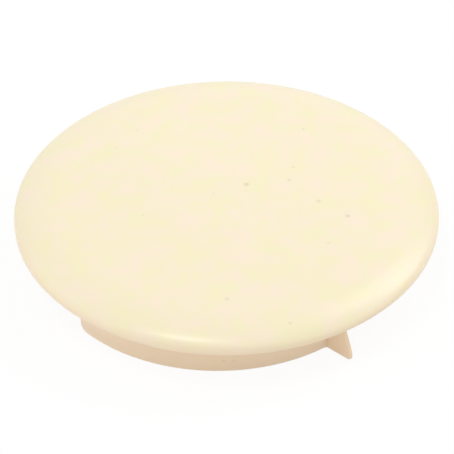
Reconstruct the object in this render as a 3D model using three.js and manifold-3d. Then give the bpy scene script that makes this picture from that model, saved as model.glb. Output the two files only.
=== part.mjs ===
// A screw cover cap for furniture, moulded in one piece of cream plastic.
// Millimetres, +Z up. The origin is the middle of the flange's flat underside, the face that
// rests on the board. The flange lies above it, and the collar goes down into the hole.
// Azimuths are in degrees from the front (-Y), growing towards the right (+X).

import * as THREE from 'three';
import { mergeVertices } from 'three/addons/utils/BufferGeometryUtils.js';
import Module from 'manifold-3d';

// Hole that the cap closes
const HOLE_DIAMETER = 15.0;

// Flange: a slightly crowned disc with a rolled shoulder and a thin rim, rounded underneath
const FLANGE_OVERLAP = 1.5;
const RIM_THICKNESS = 0.25;
const RIM_ROUNDING = 0.15;
const SHOULDER_WIDTH = 1.75;
const SHOULDER_DROP = 0.65;
const CROWN_RISE = 0.25;

// Collar: opposite walls, drafted for the mould, with a filleted root. Each is struck from a
// centre a little off the axis, so that its free end stands proud and springs against the hole.
const PRESS_FIT = 0.13;
const WALL_OFFSET = 0.34;
const COLLAR_WALL = 0.95;
const COLLAR_DEPTH = 2.15;
const DRAFT_DEGREES = 2.0;
const EDGE_ROUNDING = 0.15;
const ROOT_FILLET = 0.25;
const WALL_COUNT = 2;
const WALL_START = -51.0;
const WALL_END = 37.2;
const FREE_CORNER_ROUNDING = 0.4;

// Barb: a tapered fin at one end of each wall. It leans outwards as it goes down, and its toe is
// drawn in by the rounding over the toe's height.
const BARB_REACH = 1.36;
const BARB_REACH_AT_ROOT = 0.2;
const BARB_ROOT_WIDTH = 0.42;
const BARB_TIP_WIDTH = 0.2;
const BARB_TOE_HEIGHT = 0.6;
const BARB_TOE_ROUNDING = 0.3;

// Fineness of the facets
const TURN_STEPS = 96;
const CROWN_STEPS = 3;
const SHOULDER_STEPS = 9;
const ROUNDING_STEPS = 4;

const CREAM = new THREE.Color().setRGB(0.961, 0.91, 0.784, THREE.SRGBColorSpace);
const SATIN_ROUGHNESS = 0.42;

// Worked out from the sizes above
const FLANGE_RADIUS = HOLE_DIAMETER / 2 + FLANGE_OVERLAP;
const COLLAR_RADIUS = HOLE_DIAMETER / 2 + PRESS_FIT;
const DRAFT = COLLAR_DEPTH * Math.tan(THREE.MathUtils.degToRad(DRAFT_DEGREES));
const FOOT_RADIUS = COLLAR_RADIUS - DRAFT;
const FOOT_INNER_RADIUS = COLLAR_RADIUS - COLLAR_WALL + DRAFT;
const BARB_ROOT = radiusFromAxis(FOOT_RADIUS, WALL_END);

// The collar is sunk this far into the flange before the two are joined, and a cutter stands
// this far past what it cuts
const SUNK = RIM_THICKNESS;
const MARGIN = 1.0;

const UP = new THREE.Vector3(0, 0, 1);

const wasm = await Module();
wasm.setup();

// Closed geometry to solid: shared vertices merged, collapsed triangles at the axis left out
function solidFrom(geometry) {
  const bare = geometry.clone();
  bare.deleteAttribute('normal');
  bare.deleteAttribute('uv');
  const merged = mergeVertices(bare);
  const index = merged.index.array;
  const triangles = [];
  for (let i = 0; i < index.length; i += 3) {
    const [a, b, c] = [index[i], index[i + 1], index[i + 2]];
    if (a !== b && b !== c && c !== a) triangles.push(a, b, c);
  }
  return new wasm.Manifold(new wasm.Mesh({
    numProp: 3,
    vertProperties: new Float32Array(merged.attributes.position.array),
    triVerts: new Uint32Array(triangles),
  }));
}

function geometryFrom(solid) {
  const mesh = solid.getMesh();
  const geometry = new THREE.BufferGeometry();
  geometry.setAttribute('position', new THREE.BufferAttribute(mesh.vertProperties, 3));
  geometry.setIndex(new THREE.BufferAttribute(mesh.triVerts, 1));
  return geometry;
}

// How far from the part's axis a wall's circle lies at an azimuth
function radiusFromAxis(wallRadius, azimuth) {
  const angle = THREE.MathUtils.degToRad(azimuth);
  const across = WALL_OFFSET * Math.cos(angle);
  return Math.sqrt(wallRadius ** 2 - across ** 2) - WALL_OFFSET * Math.sin(angle);
}

// A closed profile of radius and height, turned about the Z axis
function turned(profile) {
  return new THREE.LatheGeometry(profile, TURN_STEPS).rotateX(Math.PI / 2);
}

function extruded(shape, length, curveSteps = ROUNDING_STEPS, layers = 1) {
  return new THREE.ExtrudeGeometry(shape, {
    depth: length,
    bevelEnabled: false,
    curveSegments: curveSteps,
    steps: layers,
  });
}

// Unit vectors at an azimuth: straight out from the axis, and the way that azimuth grows
function outward(azimuth) {
  const angle = THREE.MathUtils.degToRad(azimuth);
  return new THREE.Vector3(Math.sin(angle), -Math.cos(angle), 0);
}

function along(azimuth) {
  const angle = THREE.MathUtils.degToRad(azimuth);
  return new THREE.Vector3(Math.cos(angle), Math.sin(angle), 0);
}

// The flange's profile runs from the axis along the underside, round the rim and shoulder, and
// back over the crown
function flange() {
  const shoulderStart = FLANGE_RADIUS - SHOULDER_WIDTH;
  const crownAt = (radius) => CROWN_RISE * (1 - (radius / FLANGE_RADIUS) ** 2);
  const points = [new THREE.Vector2(0, 0)];
  for (let i = 0; i <= ROUNDING_STEPS; i++) {
    const turn = (Math.PI / 2) * (i / ROUNDING_STEPS - 1);
    points.push(new THREE.Vector2(
      FLANGE_RADIUS + RIM_ROUNDING * (Math.cos(turn) - 1),
      RIM_ROUNDING * (1 + Math.sin(turn)),
    ));
  }
  for (let i = 0; i <= SHOULDER_STEPS; i++) {
    const turn = (Math.PI / 2) * (i / SHOULDER_STEPS);
    const radius = shoulderStart + SHOULDER_WIDTH * Math.cos(turn);
    const height = RIM_THICKNESS + SHOULDER_DROP * Math.sin(turn) + crownAt(radius);
    points.push(new THREE.Vector2(radius, height));
  }
  for (let i = CROWN_STEPS - 1; i >= 0; i--) {
    const radius = shoulderStart * (i / CROWN_STEPS);
    points.push(new THREE.Vector2(radius, RIM_THICKNESS + SHOULDER_DROP + crownAt(radius)));
  }
  return solidFrom(turned(points));
}

// The front wall's ring: fillets where it leaves the flange, drafted faces, rounded foot
function collarRing() {
  const innerRadius = COLLAR_RADIUS - COLLAR_WALL;
  const section = new THREE.Path();
  section.moveTo(innerRadius - ROOT_FILLET, SUNK);
  section.lineTo(innerRadius - ROOT_FILLET, 0);
  section.absarc(innerRadius - ROOT_FILLET, -ROOT_FILLET, ROOT_FILLET, Math.PI / 2, 0, true);
  section.absarc(
    FOOT_INNER_RADIUS + EDGE_ROUNDING, EDGE_ROUNDING - COLLAR_DEPTH, EDGE_ROUNDING,
    Math.PI, Math.PI * 1.5, false,
  );
  section.absarc(
    FOOT_RADIUS - EDGE_ROUNDING, EDGE_ROUNDING - COLLAR_DEPTH, EDGE_ROUNDING,
    Math.PI * 1.5, Math.PI * 2, false,
  );
  section.absarc(COLLAR_RADIUS + ROOT_FILLET, -ROOT_FILLET, ROOT_FILLET, Math.PI, Math.PI / 2, true);
  section.lineTo(COLLAR_RADIUS + ROOT_FILLET, SUNK);
  section.closePath();
  const ring = turned(section.getPoints(ROUNDING_STEPS));
  return solidFrom(ring.translate(-WALL_OFFSET, 0, 0));
}

// The barb's plan: how far out from the part's axis, and how far from the wall's end. Its back
// face is the wall's end face, so the plan runs past that and is trimmed with the wall.
function barbPlan() {
  const tip = BARB_TIP_WIDTH / 2;
  const tipCentre = BARB_ROOT + BARB_REACH - tip;
  const slope = (BARB_ROOT_WIDTH - BARB_TIP_WIDTH) / (tipCentre - BARB_ROOT);
  const faceTurn = Math.PI / 2 - Math.atan(slope);
  const rootDepth = COLLAR_WALL / 2;
  const plan = new THREE.Shape();
  plan.moveTo(BARB_ROOT - rootDepth, -MARGIN);
  plan.lineTo(tipCentre, -MARGIN);
  plan.absarc(tipCentre, tip, tip, -Math.PI / 2, faceTurn, false);
  plan.lineTo(BARB_ROOT, BARB_ROOT_WIDTH);
  plan.lineTo(BARB_ROOT - rootDepth, BARB_ROOT_WIDTH + rootDepth * slope);
  plan.closePath();
  return plan;
}

// How far the barb stands out of the wall, at a height above the foot
function barbReachAt(height) {
  const below = Math.max(1 - height / BARB_TOE_HEIGHT, 0);
  const drawnIn = BARB_TOE_ROUNDING * (1 - Math.sqrt(1 - below ** 2));
  const share = Math.min(height / COLLAR_DEPTH, 1);
  return THREE.MathUtils.lerp(BARB_REACH, BARB_REACH_AT_ROOT, share) - drawnIn;
}

// The plan in layers, each with the reach that the barb has at its height. The first layer is
// sunk in the flange, and the last ones go round the toe.
function barb() {
  const heights = [COLLAR_DEPTH + SUNK, COLLAR_DEPTH];
  for (let i = 0; i <= ROUNDING_STEPS; i++) {
    heights.push(BARB_TOE_HEIGHT * (1 - Math.sin((Math.PI / 2) * (i / ROUNDING_STEPS))));
  }
  const layers = heights.length - 1;
  const fin = extruded(barbPlan(), layers, ROUNDING_STEPS, layers);
  const corners = fin.attributes.position;
  for (let i = 0; i < corners.count; i++) {
    const height = heights[Math.round(corners.getZ(i))];
    const past = Math.max(corners.getX(i) - BARB_ROOT, 0);
    const lean = past * (barbReachAt(height) / BARB_REACH - 1);
    corners.setX(i, corners.getX(i) + lean + DRAFT * (height / COLLAR_DEPTH));
    corners.setZ(i, COLLAR_DEPTH - height);
  }
  const back = along(WALL_END).negate();
  const frame = new THREE.Matrix4().makeBasis(outward(WALL_END), back, UP.clone().negate());
  return solidFrom(fin.applyMatrix4(frame));
}

// Everything outside one wall's stretch of the ring, as a pie slice
function gapCutter() {
  const reach = FLANGE_RADIUS + MARGIN;
  const gapStart = THREE.MathUtils.degToRad(WALL_END - 90);
  const gapEnd = THREE.MathUtils.degToRad(WALL_START + 270);
  const slice = new THREE.Shape();
  slice.moveTo(0, 0);
  slice.lineTo(reach * Math.cos(gapStart), reach * Math.sin(gapStart));
  slice.absarc(0, 0, reach, gapStart, gapEnd, false);
  slice.closePath();
  const height = COLLAR_DEPTH + SUNK + 2 * MARGIN;
  const prism = extruded(slice, height, TURN_STEPS);
  return solidFrom(prism.translate(0, 0, -COLLAR_DEPTH - MARGIN));
}

// What the rounded lower corner takes off the wall's free end
function cornerCutter() {
  const size = FREE_CORNER_ROUNDING;
  const corner = new THREE.Shape();
  corner.moveTo(-size, -COLLAR_DEPTH - MARGIN);
  corner.lineTo(MARGIN, -COLLAR_DEPTH - MARGIN);
  corner.lineTo(MARGIN, size - COLLAR_DEPTH);
  corner.lineTo(0, size - COLLAR_DEPTH);
  corner.absarc(-size, size - COLLAR_DEPTH, size, 0, -Math.PI / 2, true);
  corner.closePath();
  const out = outward(WALL_START);
  const frame = new THREE.Matrix4().makeBasis(
    along(WALL_START).negate(), UP, out.clone().negate(),
  );
  frame.setPosition(out.clone().multiplyScalar(COLLAR_RADIUS + MARGIN));
  return solidFrom(extruded(corner, COLLAR_WALL + 2 * MARGIN).applyMatrix4(frame));
}

function wallWithBarb() {
  return collarRing().add(barb()).subtract(gapCutter()).subtract(cornerCutter());
}

function coverCap() {
  const wall = geometryFrom(wallWithBarb());
  let cap = flange();
  for (let i = 0; i < WALL_COUNT; i++) {
    cap = cap.add(solidFrom(wall.clone().rotateZ((2 * Math.PI * i) / WALL_COUNT)));
  }
  const material = new THREE.MeshStandardMaterial({
    color: CREAM,
    roughness: SATIN_ROUGHNESS,
    metalness: 0.0,
  });
  const mesh = new THREE.Mesh(geometryFrom(cap), material);
  mesh.name = 'cover_cap';
  return mesh;
}

const screwCoverCap = new THREE.Group();
screwCoverCap.add(coverCap());

export default screwCoverCap;
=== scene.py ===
import math

import bmesh
import bpy
from mathutils import Matrix, Quaternion, Vector


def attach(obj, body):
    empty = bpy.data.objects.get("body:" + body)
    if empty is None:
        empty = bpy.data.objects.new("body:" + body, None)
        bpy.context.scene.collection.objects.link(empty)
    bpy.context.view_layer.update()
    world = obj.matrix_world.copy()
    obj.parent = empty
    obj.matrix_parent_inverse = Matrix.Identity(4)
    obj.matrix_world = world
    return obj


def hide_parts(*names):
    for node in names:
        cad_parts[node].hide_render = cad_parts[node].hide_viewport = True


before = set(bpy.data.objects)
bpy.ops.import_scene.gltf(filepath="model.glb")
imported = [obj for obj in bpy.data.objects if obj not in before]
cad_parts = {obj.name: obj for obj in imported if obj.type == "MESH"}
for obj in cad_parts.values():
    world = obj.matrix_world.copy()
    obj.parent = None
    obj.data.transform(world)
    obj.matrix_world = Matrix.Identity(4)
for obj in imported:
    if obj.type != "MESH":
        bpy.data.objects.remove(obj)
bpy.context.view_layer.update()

# Screw cover cap
# A cap that closes the hole over a furniture screw, injection-moulded in one piece of cream plastic
# with a satin face. It is pushed in by hand: the flange covers the edge of the hole, and two collar
# walls, each with a barb at one end, spring against its inside.

# Sizes are in millimetres, and azimuths in degrees from the front, growing towards the right.
flange_radius = 9.0
rim_thickness = 0.25
rim_rounding = 0.15
rim_flatness = 0.65
shoulder_width = 1.75
shoulder_drop = 0.65
crown_rise = 0.25

collar_radius = 7.63
wall_offset = 0.34
collar_wall = 0.95
collar_depth = 2.15
draft = collar_depth * math.tan(math.radians(2.0))
foot_rounding = 0.15
root_fillet = 0.25
wall_start = -51.0
wall_end = 37.2
free_corner_rounding = 0.4
wall_end_rounding = 0.08

barb_reach = 1.36
barb_reach_at_root = 0.2
barb_root_width = 0.42
barb_tip_width = 0.2
barb_toe_height = 0.6
barb_toe_rounding = 0.3
barb_foot_rounding = 0.08
barb_tip_rounding = 0.45 * barb_tip_width
barb_cuts = (0.11, 0.16, 0.22, 0.3, 0.4, barb_toe_height, 0.9, 1.2, 1.5, 1.8, 2.1)

# The walls and barbs reach up into the flange, and a barb's heel into its wall. So that these faces
# don't coincide where the solids fuse, a wall's fillets end just above the flange's underside, and
# a barb's back stands just proud of the wall's end.
sunk = 0.25
fillet_lift = 0.002
fillet_overlap = 0.05
barb_heel_width = barb_root_width + 0.15
barb_heel_depth = 0.06
proud = 0.004

# Points closer together than weld are merged, and a cut takes in points closer to it than
# cut_reach. Tests of where a point lies allow a hair, or a margin where nothing else is near.
weld = 0.0005
cut_reach = 0.0001
hair = 0.001
margin = 0.01

# The frame is in metres.
millimetre = 0.001


def outward(azimuth):
    angle = math.radians(azimuth)
    return Vector((math.sin(angle), -math.cos(angle), 0))


def along(azimuth):
    angle = math.radians(azimuth)
    return Vector((math.cos(angle), math.sin(angle), 0))


def of_kind(kind, parts):
    return [part for part in parts if isinstance(part, kind)]


# The flange's outline is drawn from the axis along the underside, round the rim, whose rounding is
# flattened, up the shoulder and back over the crown. Then it is turned about the axis.
def moulded_flange():
    flange = bmesh.new()
    middle = flange.verts.new((0, 0, 0))
    rim_start = flange.verts.new((flange_radius - rim_rounding, 0, 0))
    flange.edges.new((middle, rim_start))
    round_the_rim = bmesh.ops.spin(
        flange, geom=[rim_start], cent=(flange_radius - rim_rounding, 0, rim_rounding),
        axis=(0, -1, 0), angle=math.radians(90), steps=6)
    for vert in flange.verts:
        bulge = vert.co.x - (flange_radius - rim_rounding) - vert.co.z
        if bulge > 0 and vert is not middle:
            vert.co += Vector((-0.5, 0, 0.5)) * bulge * rim_flatness
    rim_edge = of_kind(bmesh.types.BMVert, round_the_rim["geom_last"])[0]
    shoulder_foot = flange.verts.new((flange_radius, 0, rim_thickness))
    flange.edges.new((rim_edge, shoulder_foot))
    before = set(flange.verts) - {shoulder_foot}
    over_the_shoulder = bmesh.ops.spin(
        flange, geom=[shoulder_foot], cent=(flange_radius - shoulder_width, 0, rim_thickness),
        axis=(0, -1, 0), angle=math.radians(90), steps=20)
    shoulder = [vert for vert in flange.verts if vert not in before]
    bmesh.ops.scale(
        flange, verts=shoulder, vec=(1, 1, shoulder_drop / shoulder_width),
        space=Matrix.Translation((0, 0, -rim_thickness)))
    shoulder_top = of_kind(bmesh.types.BMVert, over_the_shoulder["geom_last"])[0]
    crown_middle = flange.verts.new((0, 0, rim_thickness + shoulder_drop))
    crown_line = flange.edges.new((shoulder_top, crown_middle))
    bmesh.ops.subdivide_edges(flange, edges=[crown_line], cuts=11)
    for vert in flange.verts:
        if vert.co.z > rim_thickness - hair:
            vert.co.z += crown_rise * (1 - (vert.co.x / flange_radius) ** 2)
    bmesh.ops.spin(
        flange, geom=flange.verts[:] + flange.edges[:], cent=(0, 0, 0), axis=(0, 0, 1),
        angle=math.radians(360), steps=288, use_merge=True)
    bmesh.ops.remove_doubles(flange, verts=flange.verts, dist=weld)
    bmesh.ops.recalc_face_normals(flange, faces=flange.faces)
    return flange


# A wall is swept from its section, which flares into the flange at the top and is rounded at the
# foot. It is swept a little past both its ends, which are then cut square to the hole, and the free
# end's lower corner is rounded off.
def collar_section(wall):
    outer_foot = collar_radius - draft
    inner_root = collar_radius - collar_wall
    inner_foot = inner_root + draft
    flare = root_fillet + fillet_overlap
    outline = [
        (inner_root - flare, sunk), (inner_root - flare, fillet_lift), (inner_root, fillet_lift),
        (inner_foot, -collar_depth), (outer_foot, -collar_depth), (collar_radius, fillet_lift),
        (collar_radius + flare, fillet_lift), (collar_radius + flare, sunk),
    ]
    corners = [wall.verts.new((radius, 0, height)) for radius, height in outline]
    wall.faces.new(corners)
    bmesh.ops.bevel(
        wall, geom=[corners[2], corners[5]], affect="VERTICES", offset=root_fillet,
        segments=6, profile=0.5, material=-1)
    feet = [vert for vert in wall.verts if vert.co.z < -collar_depth + hair]
    bmesh.ops.bevel(
        wall, geom=feet, affect="VERTICES", offset=foot_rounding, segments=4, profile=0.5,
        material=-1)


def trimmed(wall, plane_normal):
    bmesh.ops.bisect_plane(
        wall, geom=wall.verts[:] + wall.edges[:] + wall.faces[:], dist=cut_reach,
        plane_co=(0, 0, 0), plane_no=plane_normal, clear_outer=True)
    rim = [edge for edge in wall.edges if edge.is_boundary
           and all(abs(vert.co.dot(plane_normal)) < hair for vert in edge.verts)]
    return bmesh.ops.contextual_create(wall, geom=rim)["faces"]


def moulded_wall():
    wall = bmesh.new()
    collar_section(wall)
    spare_angle = 4.0
    turn = Matrix.Rotation(math.radians(wall_start - spare_angle - 90), 4, "Z")
    bmesh.ops.transform(
        wall, verts=wall.verts, matrix=Matrix.Translation((-wall_offset, 0, 0)) @ turn)
    section = wall.faces[:]
    sweep = wall_end - wall_start + 2 * spare_angle
    bmesh.ops.spin(
        wall, geom=section, cent=(-wall_offset, 0, 0), axis=(0, 0, 1),
        angle=math.radians(sweep), steps=round(sweep))
    bmesh.ops.remove_doubles(wall, verts=wall.verts, dist=weld)
    ends = trimmed(wall, -along(wall_start)) + trimmed(wall, along(wall_end))
    bmesh.ops.recalc_face_normals(wall, faces=wall.faces)
    round_these = [edge for face in ends for edge in face.edges
                   if max(vert.co.z for vert in edge.verts) < sunk - margin]
    bmesh.ops.bevel(
        wall, geom=round_these, affect="EDGES", offset=wall_end_rounding, segments=3,
        profile=0.5, material=-1)
    for vert in wall.verts:
        from_end = vert.co.dot(along(wall_start))
        if vert.co.z < 0 and from_end < free_corner_rounding:
            across = free_corner_rounding - max(from_end, 0)
            lift = free_corner_rounding - math.sqrt(free_corner_rounding ** 2 - across ** 2)
            vert.co.z *= (collar_depth - lift) / collar_depth
    return wall


# A barb is a tapered fin that stands out from the wall at its end, with its back face in the
# plane of that end. It is cut across at several heights, so that its outer edge can lean outwards
# to a rounded toe at the foot.
def barb_reach_at(height):
    share = height / collar_depth
    reach = barb_reach + (barb_reach_at_root - barb_reach) * share
    if height < barb_toe_height:
        below = 1 - max(height, 0) / barb_toe_height
        reach -= barb_toe_rounding * (1 - math.sqrt(1 - below ** 2))
    return reach


def moulded_barb():
    barb = bmesh.new()
    root = collar_radius - draft - wall_offset * math.sin(math.radians(wall_end))
    inside = root - collar_wall / 2
    tip = root + barb_reach
    plan = [
        (inside, -proud), (inside, barb_heel_width), (root - barb_heel_depth, barb_heel_width),
        (root, barb_root_width), (tip, barb_tip_width), (tip, -proud),
    ]
    corners = [barb.verts.new((out, -back, -collar_depth)) for out, back in plan]
    barb.faces.new(corners)
    bmesh.ops.bevel(
        barb, geom=corners[4:], affect="VERTICES", offset=barb_tip_rounding, segments=4,
        profile=0.5, material=-1)
    raised = bmesh.ops.extrude_face_region(barb, geom=barb.faces[:])["geom"]
    bmesh.ops.translate(
        barb, verts=of_kind(bmesh.types.BMVert, raised), vec=(0, 0, collar_depth + sunk))
    bmesh.ops.recalc_face_normals(barb, faces=barb.faces)
    foot = [edge for edge in barb.edges
            if all(vert.co.z < margin - collar_depth for vert in edge.verts)
            and max(vert.co.x for vert in edge.verts) > inside + margin]
    bmesh.ops.bevel(
        barb, geom=foot, affect="EDGES", offset=barb_foot_rounding, segments=4, profile=0.5,
        material=-1)
    for height in barb_cuts:
        bmesh.ops.bisect_plane(
            barb, geom=barb.verts[:] + barb.edges[:] + barb.faces[:], dist=cut_reach,
            plane_co=(0, 0, height - collar_depth), plane_no=(0, 0, 1))
    for vert in barb.verts:
        height = vert.co.z + collar_depth
        if vert.co.x > root:
            share = (vert.co.x - root) / barb_reach
            vert.co.x = root + barb_reach_at(height) * share
        vert.co.x += draft * height / collar_depth
    bmesh.ops.rotate(
        barb, verts=barb.verts, cent=(0, 0, 0),
        matrix=Matrix.Rotation(math.radians(wall_end - 90), 3, "Z"))
    return barb


def mesh_object(name, in_progress, half_turns=0):
    bmesh.ops.rotate(
        in_progress, verts=in_progress.verts, cent=(0, 0, 0),
        matrix=Matrix.Rotation(math.pi * half_turns, 3, "Z"))
    mesh = bpy.data.meshes.new(name)
    in_progress.to_mesh(mesh)
    in_progress.free()
    made = bpy.data.objects.new(name, mesh)
    bpy.context.scene.collection.objects.link(made)
    return made


def apply_modifiers(made):
    before = made.data
    finished = made.evaluated_get(bpy.context.evaluated_depsgraph_get())
    made.data = bpy.data.meshes.new_from_object(finished)
    made.modifiers.clear()
    bpy.data.meshes.remove(before)


def fuse(made, added):
    union = made.modifiers.new("union", "BOOLEAN")
    union.operation = "UNION"
    union.solver = "MANIFOLD"
    union.object = added
    apply_modifiers(made)
    bpy.data.meshes.remove(added.data)


sharp_angle = math.radians(38)
cap = mesh_object("cap", moulded_flange())
for half_turns in (0, 1):
    fuse(cap, mesh_object("wall", moulded_wall(), half_turns))
    fuse(cap, mesh_object("barb", moulded_barb(), half_turns))
cap.data.transform(Matrix.Scale(millimetre, 4))
cap.data.shade_smooth()
cap.data.set_sharp_from_angle(angle=sharp_angle)
even_normals = cap.modifiers.new("even_normals", "WEIGHTED_NORMAL")
even_normals.keep_sharp = True
even_normals.weight = 80
apply_modifiers(cap)
cap.data.name = "cap"


# The plastic is cream, with a satin, spark-eroded face. It has patches a little yellower and
# pinker, a fine grain and a few tiny dark specks. Low on the rim and collar it is painted deeper
# and warmer, as painted shade under the flange.
cream = (0.885, 0.794, 0.582, 1.0)
yellower = (0.862, 0.809, 0.522, 1.0)
pinker = (0.910, 0.777, 0.628, 1.0)
# A deeper, warmer cream, painted low on the rim and collar as painted shade.
shade_warmed_cream = (0.950, 0.759, 0.545, 1.0)
speck_brown = (0.52, 0.42, 0.27, 1.0)

# Each speck on the top: how far right and back of the middle, its radius, and how dark it is.
# The marks on the front wall are given by how far right and how high they are.
specks = [
    (0.86, 0.61, 0.095, 0.42), (2.68, 0.90, 0.080, 0.26), (2.87, 1.80, 0.065, 0.18),
    (3.88, -0.50, 0.085, 0.30), (5.07, -1.45, 0.095, 0.35), (4.20, -3.22, 0.060, 0.20),
    (0.00, -6.62, 0.080, 0.26), (3.38, 4.57, 0.065, 0.22), (2.53, -7.89, 0.060, 0.24),
    (-3.48, -1.38, 0.060, 0.16), (-3.87, 4.57, 0.060, 0.16), (-4.79, 3.36, 0.055, 0.14),
    (-0.55, 0.01, 0.055, 0.14),
]
wall_marks = [(-0.14, -1.52, 0.075, 0.22), (0.27, -1.52, 0.070, 0.16)]


def satin_cream():
    material = bpy.data.materials.new("satin_cream")
    material.use_nodes = True
    nodes, links = material.node_tree.nodes, material.node_tree.links
    shader = nodes["Principled BSDF"]
    shader.inputs["IOR"].default_value = 1.48
    shader.inputs["Subsurface Weight"].default_value = 0.15
    shader.inputs["Subsurface Radius"].default_value = (1.0, 0.7, 0.45)
    shader.inputs["Subsurface Scale"].default_value = 0.4 * millimetre

    place = nodes.new("ShaderNodeTexCoord")
    in_millimetres = nodes.new("ShaderNodeMapping")
    in_millimetres.inputs["Scale"].default_value = [1 / millimetre] * 3
    links.new(place.outputs["Object"], in_millimetres.inputs["Vector"])
    point = in_millimetres.outputs["Vector"]

    def noise(scale, detail, roughness=0.5):
        made = nodes.new("ShaderNodeTexNoise")
        made.inputs["Scale"].default_value = scale
        made.inputs["Detail"].default_value = detail
        made.inputs["Roughness"].default_value = roughness
        links.new(point, made.inputs["Vector"])
        return made.outputs["Fac"]

    def spread(value, low, high, to_low=0.0, to_high=1.0):
        made = nodes.new("ShaderNodeMapRange")
        made.inputs["From Min"].default_value = low
        made.inputs["From Max"].default_value = high
        made.inputs["To Min"].default_value = to_low
        made.inputs["To Max"].default_value = to_high
        links.new(value, made.inputs["Value"])
        return made.outputs["Result"]

    def blended(share, first, second):
        made = nodes.new("ShaderNodeMix")
        made.data_type = "RGBA"
        first_colour, second_colour = made.inputs[6], made.inputs[7]
        links.new(share, made.inputs["Factor"])
        for colour, socket in ((first, first_colour), (second, second_colour)):
            if isinstance(colour, tuple):
                socket.default_value = colour
            else:
                links.new(colour, socket)
        return made.outputs[2]

    def reckoned(operation, first, second):
        made = nodes.new("ShaderNodeMath")
        made.operation = operation
        links.new(first, made.inputs[0])
        links.new(second, made.inputs[1])
        return made.outputs["Value"]

    def spots(across, along_face, places):
        flat = nodes.new("ShaderNodeCombineXYZ")
        links.new(across, flat.inputs["X"])
        links.new(along_face, flat.inputs["Y"])
        darkest = None
        for x, y, radius, dark in places:
            away = nodes.new("ShaderNodeVectorMath")
            away.operation = "DISTANCE"
            away.inputs[1].default_value = (x, y, 0)
            links.new(flat.outputs["Vector"], away.inputs[0])
            spot = spread(away.outputs["Value"], 0.4 * radius, 1.6 * radius, dark, 0.0)
            darkest = spot if darkest is None else reckoned("MAXIMUM", darkest, spot)
        return darkest

    patches = spread(noise(scale=0.9, detail=3), 0.35, 0.65)
    grain = spread(noise(scale=7.0, detail=3, roughness=0.6), 0.3, 0.7, to_high=0.6)
    plastic = blended(patches, yellower, pinker)
    plastic = blended(grain, plastic, cream)

    apart = nodes.new("ShaderNodeSeparateXYZ")
    links.new(point, apart.inputs["Vector"])
    right, back, up = (apart.outputs[axis] for axis in "XYZ")
    # Painted shade: below the top of the rim the colour turns deeper and warmer, down over the
    # collar.
    plastic = blended(spread(up, 0.6, 0.0), plastic, shade_warmed_cream)

    on_top = reckoned("MULTIPLY", spots(right, back, specks), spread(up, 0.3, 0.4))
    on_wall = reckoned("MULTIPLY", spots(right, up, wall_marks), spread(back, -7.0, -7.1))
    plastic = blended(reckoned("MAXIMUM", on_top, on_wall), plastic, speck_brown)
    links.new(plastic, shader.inputs["Base Color"])

    satin = spread(noise(scale=6.0, detail=3), 0.3, 0.7, to_low=0.29, to_high=0.34)
    links.new(satin, shader.inputs["Roughness"])
    erosion = nodes.new("ShaderNodeBump")
    erosion.inputs["Strength"].default_value = 0.05
    erosion.inputs["Distance"].default_value = 0.006 * millimetre
    links.new(noise(scale=14.0, detail=2), erosion.inputs["Height"])
    links.new(erosion.outputs["Normal"], shader.inputs["Normal"])
    return material


cap.data.materials.clear()
cap.data.materials.append(satin_cream())
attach(cap, "root")
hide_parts("cover_cap")

# Floor
# A plain white table top, on which the cap stands on its collar. The camera sees it near white,
# with the cap's soft shadow. It lights the cap from below as a pale surface that glows a little.
floor_shape = bmesh.new()
bmesh.ops.create_grid(floor_shape, x_segments=1, y_segments=1, size=1.0)
bmesh.ops.translate(floor_shape, verts=floor_shape.verts, vec=(0, 0, -collar_depth * millimetre))
floor = mesh_object("floor", floor_shape)
white_share_to_eye = 0.92
glow = 0.2


def seen_by_eye(nodes, links):
    path = nodes.new("ShaderNodeLightPath")
    seen = path.outputs["Is Camera Ray"]
    for ray in ("Is Glossy Ray", "Is Transmission Ray"):
        either = nodes.new("ShaderNodeMath")
        either.operation = "MAXIMUM"
        links.new(seen, either.inputs[0])
        links.new(path.outputs[ray], either.inputs[1])
        seen = either.outputs["Value"]
    return seen


def mixed(nodes, links, share, first, second):
    made = nodes.new("ShaderNodeMixShader")
    if isinstance(share, float):
        made.inputs["Fac"].default_value = share
    else:
        links.new(share, made.inputs["Fac"])
    links.new(first, made.inputs[1])
    links.new(second, made.inputs[2])
    return made.outputs["Shader"]


def white_table():
    material = bpy.data.materials.new("white_table")
    material.use_nodes = True
    nodes, links = material.node_tree.nodes, material.node_tree.links
    nodes.clear()
    pale = nodes.new("ShaderNodeBsdfDiffuse")
    pale.inputs["Color"].default_value = (0.85, 0.85, 0.85, 1)
    shadowed_white = nodes.new("ShaderNodeBsdfDiffuse")
    shadowed_white.inputs["Color"].default_value = (1, 1, 1, 1)
    plain_white = nodes.new("ShaderNodeEmission")
    plain_white.inputs["Strength"].default_value = 1.0
    white = plain_white.outputs["Emission"]
    to_cap = mixed(nodes, links, glow, pale.outputs["BSDF"], white)
    to_eye = mixed(nodes, links, white_share_to_eye, shadowed_white.outputs["BSDF"], white)
    from_above = mixed(nodes, links, seen_by_eye(nodes, links), to_cap, to_eye)
    from_below = nodes.new("ShaderNodeBsdfTransparent")
    side = nodes.new("ShaderNodeNewGeometry")
    one_sided = mixed(
        nodes, links, side.outputs["Backfacing"], from_above, from_below.outputs["BSDF"])
    surface = nodes.new("ShaderNodeOutputMaterial").inputs["Surface"]
    links.new(one_sided, surface)
    return material


floor.data.materials.append(white_table())

# Light
# Soft even light from a pale room, with large soft boxes around the cap, the strongest low at the
# left. A small one high at the front left gives the front of the shoulder its gloss, and the two
# windows behind to the right make the bright patch on the shoulder's right side.
room_light = 0.465
lamp_distance = 0.5


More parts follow.
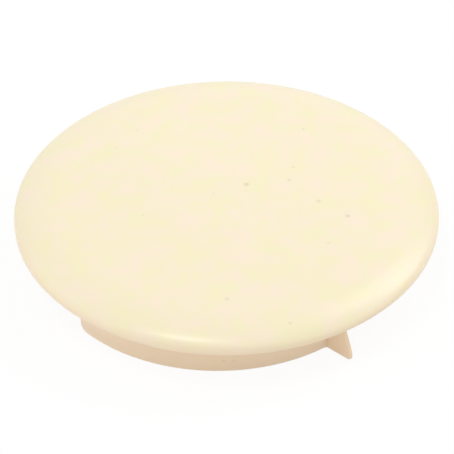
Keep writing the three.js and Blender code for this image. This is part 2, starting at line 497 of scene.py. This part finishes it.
def pale_room():
    room = bpy.data.worlds.new("room")
    room.use_nodes = True
    nodes, links = room.node_tree.nodes, room.node_tree.links
    nodes.clear()
    even_light = nodes.new("ShaderNodeBackground")
    even_light.inputs["Color"].default_value = (1, 1, 1, 1)
    even_light.inputs["Strength"].default_value = room_light
    white_wall = nodes.new("ShaderNodeBackground")
    white_wall.inputs["Color"].default_value = (1, 1, 1, 1)
    white_wall.inputs["Strength"].default_value = 1.0
    around = mixed(
        nodes, links, seen_by_eye(nodes, links), even_light.outputs["Background"],
        white_wall.outputs["Background"])
    surface = nodes.new("ShaderNodeOutputWorld").inputs["Surface"]
    links.new(around, surface)
    return room


def soft_box(name, azimuth, elevation, size, power):
    lamp = bpy.data.lights.new(name, "AREA")
    lamp.shape = "DISK"
    lamp.size = size
    lamp.energy = power
    stand = bpy.data.objects.new(name, lamp)
    tilt = math.radians(elevation)
    direction = outward(azimuth) * math.cos(tilt) + Vector((0, 0, math.sin(tilt)))
    stand.location = direction * lamp_distance
    stand.rotation_euler = direction.to_track_quat("Z", "Y").to_euler()
    bpy.context.scene.collection.objects.link(stand)


bpy.context.scene.world = pale_room()
soft_box("low_left_box", azimuth=-79, elevation=23, size=0.70, power=0.68)
soft_box("front_box", azimuth=-8, elevation=47, size=0.30, power=0.17)
soft_box("low_right_box", azimuth=54, elevation=20, size=0.50, power=0.14)
soft_box("left_box", azimuth=-108, elevation=38, size=0.30, power=0.16)
soft_box("high_left_box", azimuth=-38, elevation=69, size=0.12, power=0.47)
soft_box("back_box", azimuth=172, elevation=27, size=0.30, power=0.10)
soft_box("right_box", azimuth=90, elevation=36, size=0.16, power=0.10)
soft_box("low_window", azimuth=112, elevation=36, size=0.22, power=0.42)
soft_box("high_window", azimuth=126, elevation=53, size=0.22, power=0.39)

# Camera
# It stands in front of the cap and looks down on it, as the photograph does. Its distance is taken
# from the middle of the rim.
pitch = math.radians(39.05)
roll = math.radians(-0.31)
camera_distance = 0.108
rim_middle = Vector((0, 0, rim_thickness * millimetre))
eye = rim_middle + Vector((0, -math.cos(pitch), math.sin(pitch))) * camera_distance
look_at = Vector((0.021, -0.456, -0.318)) * millimetre
camera = bpy.data.objects.new("camera", bpy.data.cameras.new("camera"))
camera.data.sensor_width = 36.0
camera.data.lens = 201.8
camera.data.clip_start = 0.005
camera.data.clip_end = 10.0
camera.location = eye
camera.rotation_mode = "QUATERNION"
level = (look_at - eye).to_track_quat("-Z", "Y")
camera.rotation_quaternion = level @ Quaternion((0, 0, 1), roll)
bpy.context.scene.collection.objects.link(camera)
bpy.context.scene.camera = camera
bpy.context.scene.view_settings.view_transform = "Standard"
